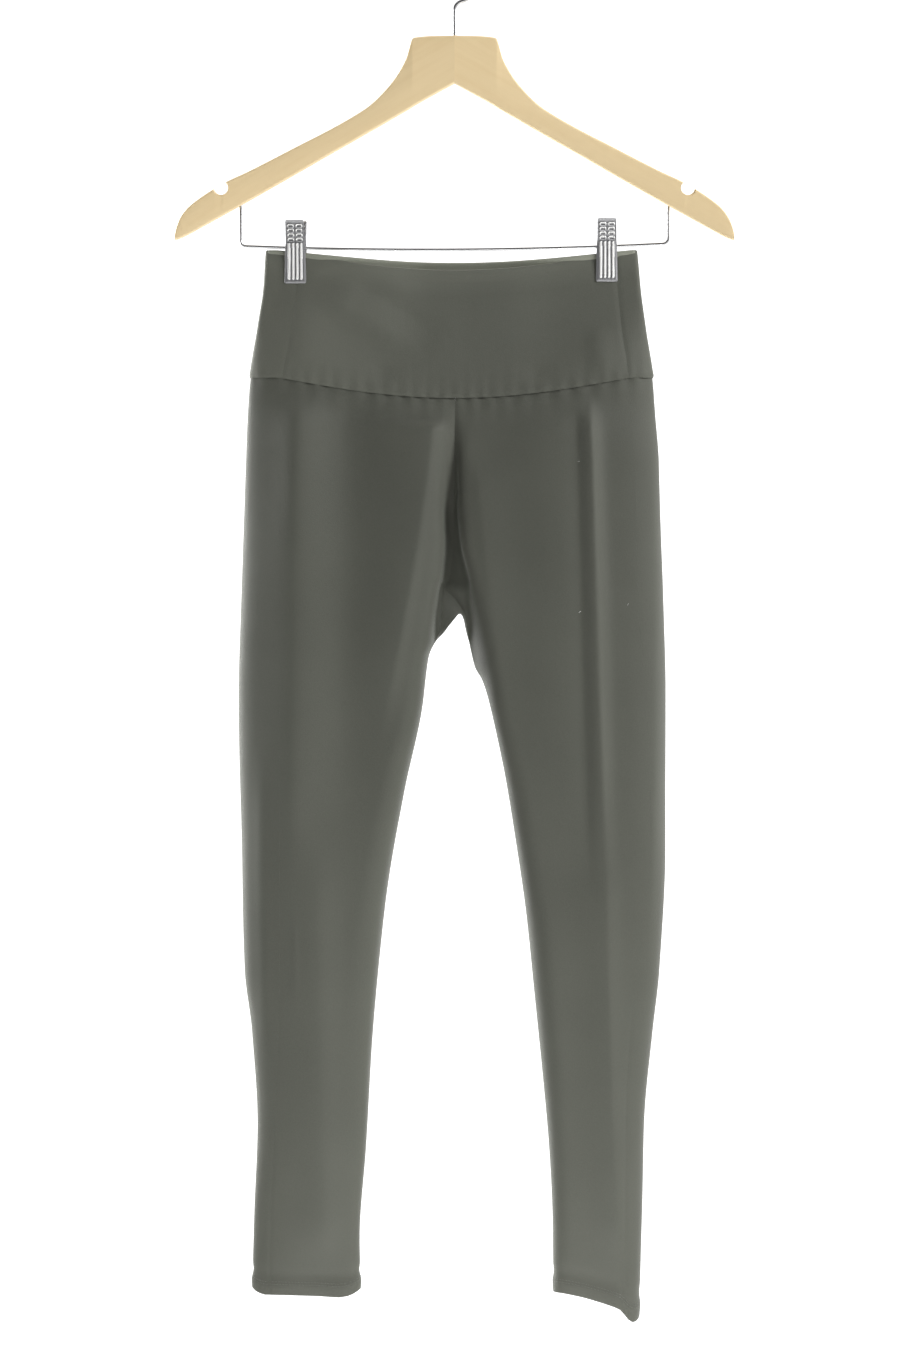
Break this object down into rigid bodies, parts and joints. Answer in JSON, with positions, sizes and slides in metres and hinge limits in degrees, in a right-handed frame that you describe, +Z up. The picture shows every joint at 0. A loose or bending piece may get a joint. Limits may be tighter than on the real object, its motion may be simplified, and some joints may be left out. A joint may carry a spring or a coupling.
{
  "type": "jogging leggings on a clip hanger",
  "caption": "High-waisted jogging leggings of smooth stretch cloth, hung by two metal clips on the wire bar of a contoured wooden hanger.",
  "frame": {"origin": "inside of the hook's crown, in the middle of the wire's width, where a rail carries the hanger", "axes": "+Z up, -Y the way the garment's front faces, +X the wearer's left side"},
  "size_m": [0.444, 0.0575, 1.0931],
  "materials": {
    "legging_cloth": "smooth stretch jersey with a soft sheen",
    "hanger_wood": "pale wood under a satin varnish",
    "chrome": "bright plated steel"
  },
  "bodies": {
    "root": {"waistband_front": "legging_cloth", "waistband_back": "legging_cloth", "leg_front_r": "legging_cloth", "leg_front_l": "legging_cloth", "leg_back_r": "legging_cloth", "leg_back_l": "legging_cloth", "gusset": "legging_cloth", "hanger_arm_r": "hanger_wood", "hanger_arm_l": "hanger_wood", "hanger_hook": "chrome", "hanger_bar": "chrome", "clip_plate_front_r": "chrome", "clip_plate_front_l": "chrome", "clip_plate_back_r": "chrome", "clip_plate_back_l": "chrome", "clip_spring_r": "chrome", "clip_spring_l": "chrome"}
  },
  "joints": []
}
